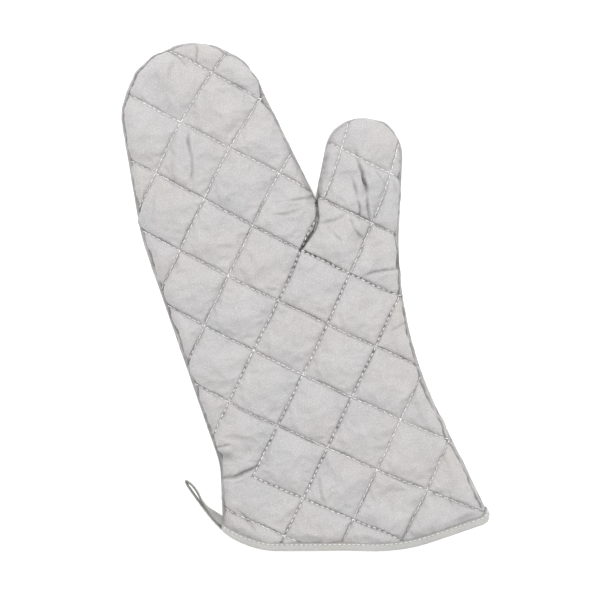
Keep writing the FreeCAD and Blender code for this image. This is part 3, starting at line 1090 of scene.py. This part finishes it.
def lining_plan():
    """Points and triangles of a lining, in plan."""
    inner = inset_line(LINING_INSET)
    inner_hem = resample(hem_line, np.linspace(8, hem_length - 8, 50)) + (0, HEM_FOLD + 0.4)
    inner_hem = inner_hem[inside(inner_hem, np.vstack([inner, inner[:1]]))]
    border = evenly(np.vstack([inner, inner_hem[::-1], inner[:1]]), LINING_STEP)[:-1]
    sewn = [line[from_side(line) > THICKNESS + 2] for line in lines]
    sewn = [evenly(line, LINING_STEP) for line in sewn if len(line) > 4]
    cut = split[from_side(split) > THICKNESS + 2]
    return plan_mesh(border, sewn + [cut], np.empty((0, 2)), LINING_STEP, [THICKNESS + 2])


def lining_solid(side, points, faces):
    """A lining with both its faces and its edge: it sags into the pocket between its stitch lines."""
    seam = from_side(points)
    bulge = 1 - np.exp(-(to_lines(points, all_lines)[0] / 6.0) ** 1.4)
    z = inner_height(side, seam)
    z -= SIGN[side] * (0.5 + 1.3 * bulge * ease(seam, THICKNESS, THICKNESS + 8))
    z += 0.2 * ripple(points, 9, 51)
    sheet = np.column_stack([points, z])
    half = vertex_normals(sheet, faces) * LINING / 2
    count = len(points)
    start, end = rim_edges(faces).T
    wall = np.vstack([np.column_stack([end, start, start + count]),
                      np.column_stack([end, start + count, end + count])])
    return np.vstack([sheet + half, sheet - half]), np.vstack([faces, faces[:, ::-1] + count, wall])


def lining_cloth(side, section):
    """One lining, and the tree of its surface that its stitches are laid on."""
    turned = lining_faces if side == "front" else lining_faces[:, ::-1]
    points, faces = used_only(lining_points, turned[in_section(lining_points[turned].mean(1), section)])
    verts, solid_faces = lining_solid(side, points, faces)
    flat = np.vstack([points, points])
    lining = new_mesh(f"{side}_lining_cloth_{section}", verts, solid_faces, cotton, flat)
    section_bend(lining)
    stand_for(section, [f"{side}_lining"])
    return tree_of(verts, solid_faces)


lining_points, lining_faces = lining_plan()
linings = {(side, section): lining_cloth(side, section) for side in SIGN for section in SECTIONS}


# ---- stitches ----
def thread_piece(centres, normals, radius):
    """Stitches as short tapered capsules, from rows of centres with the cloth's normal at each."""
    verts, faces = [], []
    ends = len(THREAD_RINGS) - 1
    angles = np.arange(SIDES_OF_THREAD) * 2 * math.pi / SIDES_OF_THREAD
    for points, normal in zip(centres, normals):
        along = points[-1] - points[0]
        along /= max(np.linalg.norm(along), 1e-9)
        across = np.cross(normal, along)
        base = len(verts)
        for point, r in zip(points, radius * THREAD_TAPER):
            for angle in angles:
                verts.append(point + across * (math.cos(angle) * r) + normal * (math.sin(angle) * r * 0.8))
        for a in range(base, base + ends * SIDES_OF_THREAD, SIDES_OF_THREAD):
            for m in range(SIDES_OF_THREAD):
                n = (m + 1) % SIDES_OF_THREAD
                faces.append((a + m, a + n, a + SIDES_OF_THREAD + n, a + SIDES_OF_THREAD + m))
        faces.append(tuple(base + m for m in reversed(range(SIDES_OF_THREAD))))
        faces.append(tuple(base + ends * SIDES_OF_THREAD + m for m in range(SIDES_OF_THREAD)))
    return verts, faces


def laid(flat, surface, from_z, toward, lift):
    """A stitch's points laid on a surface, and the mean normal there, or nothing where it misses."""
    points, normal_sum = [], Vector((0, 0, 0))
    for (x, y), rise in zip(flat, THREAD_LIFT * lift):
        hit, normal, _, _ = surface.ray_cast(Vector((x, y, from_z)), toward)
        if hit is None:
            return None
        normal = -normal if normal.dot(toward) > 0 else normal
        points.append(np.array(hit + normal * rise))
        normal_sum += normal
    return np.array(points), np.array(normal_sum.normalized())


def sew(routes, surface, from_z, way, lift=1.0):
    """Stitches along plan routes, on the surface as it is met from height from_z going up (way 1) or down."""
    stitches = []
    hand = np.random.default_rng(len(routes))
    for route in routes:
        for at in np.arange(STITCH_PITCH / 2, arc_lengths(route)[-1] - STITCH_LENGTH / 2, STITCH_PITCH):
            stations = at + hand.normal(0, 0.12) + THREAD_RINGS * STITCH_LENGTH * hand.uniform(0.42, 0.52)
            flat = resample(route, stations) + hand.normal(0, 0.1, (1, 2))
            flat = flat + THREAD_RINGS[:, None] * hand.normal(0, 0.12, (1, 2))
            stitches.append(laid(flat, surface, from_z, Vector((0, 0, way)), lift))
    return zip(*[stitch for stitch in stitches if stitch is not None])


def stitch_routes(side, section):
    """The stitch lines of a section, without the stretches under the binding or next to the side seam."""
    routes = []
    for line in lines:
        if in_section(line[len(line) // 2][None], section)[0]:
            clear = (nearest(line, hem_line)[0] > BINDING_WIDTH + 0.4) & (from_side(line) > 0.8)
            routes.append(line[clear])
    if section == "main":
        routes.append(thumb_base if side == "front" else split[from_side(split) > 0.8])
    return [route for route in routes if len(route) > 2]


def quilting_thread(side, section):
    """Needle thread on a panel's outside, and bobbin thread inside on the lining."""
    routes = stitch_routes(side, section)
    lift = 1.0 if section == "main" else 0.75
    outside = sew(routes, surfaces[side], SEAM_Z + SIGN[side] * 40, -SIGN[side], lift)
    needle = new_mesh(f"{side}_stitches_{section}", *thread_piece(*outside, STITCH_RADIUS), thread)
    section_bend(needle)
    stand_for(section, [f"{side}_needle_thread"])
    inner_routes = [line[from_side(line) > THICKNESS + 3] for line in routes]
    inner_routes = [line for line in inner_routes if len(line) > 2]
    within = sew(inner_routes, linings[side, section], SEAM_Z, SIGN[side])
    inner_stitches = thread_piece(*within, 0.85 * STITCH_RADIUS)
    bobbin = new_mesh(f"{side}_inner_stitches_{section}", *inner_stitches, thread)
    section_bend(bobbin)
    stand_for(section, [f"{side}_bobbin_thread"])


def side_seam(section):
    """The stitches that join front and back, inside the mitt's edge."""
    route = inset_line(THICKNESS + 0.4)
    mask = in_section(route, section)
    centres = []
    for run in np.split(np.arange(len(route)), np.nonzero(np.diff(mask.astype(int)))[0] + 1):
        if not mask[run[0]] or len(run) < 4:
            continue
        length = arc_lengths(route[run])[-1]
        for at in np.arange(STITCH_PITCH / 2, length - STITCH_LENGTH / 2, STITCH_PITCH):
            flat = resample(route[run], at + THREAD_RINGS * STITCH_LENGTH / 2)
            centres.append(np.column_stack([flat, np.full(len(flat), SEAM_Z)]))
    stitches = thread_piece(centres, [UPRIGHT] * len(centres), SEAM_STITCH_RADIUS)
    seam_thread = new_mesh(f"side_seam_stitches_{section}", *stitches, thread)
    section_bend(seam_thread)
    stand_for(section, ["side_seam_thread"])


def binding_topstitch():
    """Stitches round the tape near its upper edge."""
    out = BINDING * 1.12 - TOPSTITCH_DENT + tape_wave[:, None]
    ring = cuff_loop(BINDING_WIDTH - TOPSTITCH_INSET) + outward * out + up * tape_sag[:, None]
    ring = np.vstack([ring, ring[:1]])
    ways = np.vstack([outward, outward[:1]])
    arc = arc_lengths(ring)
    centres, normals = [], []
    hand = np.random.default_rng(5)
    for at in np.arange(0, arc[-1] - TOPSTITCH_PITCH, TOPSTITCH_PITCH):
        stations = at + hand.normal(0, 0.1) + hand.uniform(1.15, 1.4) * (1 + THREAD_RINGS)
        normal = ways[min(np.searchsorted(arc, at + 1.3), len(ways) - 1)]
        centres.append(resample(ring, np.clip(stations, 0, arc[-1])) + normal * (THREAD_LIFT * 0.7)[:, None])
        normals.append(normal)
    stitches = thread_piece(centres, normals, TOPSTITCH_RADIUS)
    topstitch = new_mesh("binding_topstitch_thread", *stitches, thread)
    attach(topstitch, "palm_section")
    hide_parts("binding_topstitch")


for side in SIGN:
    for section in SECTIONS:
        quilting_thread(side, section)
for section in SECTIONS:
    side_seam(section)
binding_topstitch()


# ---- the hanging loop ----
def smooth_route(rows, count):
    """A smooth curve through the rows (Catmull-Rom), as evenly spaced samples of every column."""
    p = np.vstack([2 * rows[0] - rows[1], rows, 2 * rows[-1] - rows[-2]])
    out = []
    for a, b, c, d in zip(p, p[1:], p[2:], p[3:]):
        t = np.linspace(0, 1, 24, endpoint=False)[:, None]
        out.append(0.5 * (2 * b + (c - a) * t + (2 * a - 5 * b + 4 * c - d) * t ** 2
                          + (3 * b - a - 3 * c + d) * t ** 3))
    out = np.vstack(out + [p[-2:-1]])
    s = arc_lengths(out[:, :3])
    stations = np.linspace(0, s[-1], count)
    return np.column_stack([np.interp(stations, s, out[:, k]) for k in range(out.shape[1])])


def loop_centre_line():
    """Samples along the loop's tape: x, y, z, its width and its lean."""
    route = np.array(LOOP_ROUTE)
    flat = LOOP_ROOT[:2] + route[:, :1] * LOOP_ALONG + route[:, 1:2] * LOOP_ACROSS
    z = np.full(len(route), LOOP_ROOT[2])
    return smooth_route(np.column_stack([flat, z, route[:, 2:]]), LOOP_SAMPLES)


def tape_directions(tangent, lean):
    """The ways along the tape's width and out of its face."""
    a = math.radians(lean)
    side_way = np.array([-tangent[1], tangent[0], 0.0])
    return (UPRIGHT * math.cos(a) + side_way * math.sin(a), side_way * math.cos(a) - UPRIGHT * math.sin(a))


def hang(thing, node):
    """Bakes a piece's transform into its mesh and hides the CAD node that it replaces."""
    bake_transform(thing)
    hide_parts(node)


def loop_tape():
    verts, faces, shade = [], [], []
    size = len(LOOP_SECTION)
    for k, (x, y, z, width, lean) in enumerate(loop_line):
        along_width, out_of_face = tape_directions(loop_tangent[k], lean)
        for u, v in LOOP_SECTION:
            verts.append(np.array([x, y, z]) + along_width * u * width + out_of_face * v * LOOP_TAPE)
            # painted shade: 0.9 on the faces inside the fold and on the inner strand's edge under the outer
            # strand; 0.2 darkens the rest of the tape evenly
            shaded_side = v < 0 or (u > 0.4 and k > LOOP_SAMPLES / 2)
            shade.append(0.9 if shaded_side else 0.2)
    for base in range(0, (LOOP_SAMPLES - 1) * size, size):
        for m in range(size):
            n = (m + 1) % size
            faces.append((base + m, base + n, base + size + n, base + size + m))
    faces.append(tuple(reversed(range(size))))
    faces.append(tuple((LOOP_SAMPLES - 1) * size + m for m in range(size)))
    verts = np.array(verts)
    folded = new_mesh("hanging_loop_tape", verts, faces, tape, verts[:, :2], shade)
    hang(folded, "hanging_loop")


def loop_stitches():
    """Two rows of stitches on the outer strand, near the tape's edges."""
    centres, normals = [], []
    for edge_side in (-0.38, 0.38):
        for at in range(6, 34, 4):
            samples = np.linspace(at - 1.3, at + 1.3, len(THREAD_RINGS))
            rows = np.array([np.interp(samples, np.arange(LOOP_SAMPLES), values) for values in loop_line.T]).T
            along_width, out_of_face = tape_directions(loop_tangent[at], rows[3, 4])
            centre = rows[:, :3] + along_width * (edge_side * rows[3, 3])
            out = LOOP_TAPE / 2 + 0.02 + THREAD_LIFT * 0.5
            centres.append(centre + out_of_face * out[:, None])
            normals.append(out_of_face)
    hang(new_mesh("loop_stitches", *thread_piece(centres, normals, LOOP_THREAD_RADIUS), thread),
         "loop_stitching")


loop_line = loop_centre_line()
loop_tangent = tangents(loop_line[:, :2])
loop_tape()
loop_stitches()


# ---- stage, light and camera ----
def paper_floor():
    mesh = bpy.data.meshes.new("paper_floor")
    ends = (-FLOOR_HALF, FLOOR_HALF)
    mesh.from_pydata([(x, y, 0) for y in ends for x in ends], [], [(0, 1, 3, 2)])
    floor = bpy.data.objects.new("paper_floor", mesh)
    bpy.context.scene.collection.objects.link(floor)
    nodes = Nodes("white_paper")
    nodes.set(Base_Color=(0.93, 0.93, 0.93, 1), Roughness=0.9, Specular_IOR_Level=0.1,
              Emission_Color=(1, 1, 1, 1), Emission_Strength=0.18)
    mesh.materials.append(nodes.material)


def soft_light(name, place, size, power):
    data = bpy.data.lights.new(name, "AREA")
    data.shape = "DISK"
    data.size = size
    data.energy = power
    lamp = bpy.data.objects.new(name, data)
    lamp.location = place
    lamp.rotation_euler = (-Vector(place)).to_track_quat("-Z", "Y").to_euler()
    bpy.context.scene.collection.objects.link(lamp)


def white_studio():
    world = bpy.data.worlds.new("studio")
    world.use_nodes = True
    background = world.node_tree.nodes["Background"]
    background.inputs[0].default_value = (1, 1, 1, 1)
    background.inputs[1].default_value = 1.0
    bpy.context.scene.world = world
    bpy.context.scene.view_settings.view_transform = "Standard"


def overhead_camera():
    data = bpy.data.cameras.new("camera")
    data.lens = CAMERA_LENS
    data.sensor_width = 36
    data.clip_start = 0.05
    camera = bpy.data.objects.new("camera", data)
    camera.location = CAMERA_PLACE
    bpy.context.scene.collection.objects.link(camera)
    bpy.context.scene.camera = camera


paper_floor()
soft_light("key", *KEY_LIGHT)
soft_light("fill", *FILL_LIGHT)
white_studio()
overhead_camera()

bpy.context.view_layer.update()
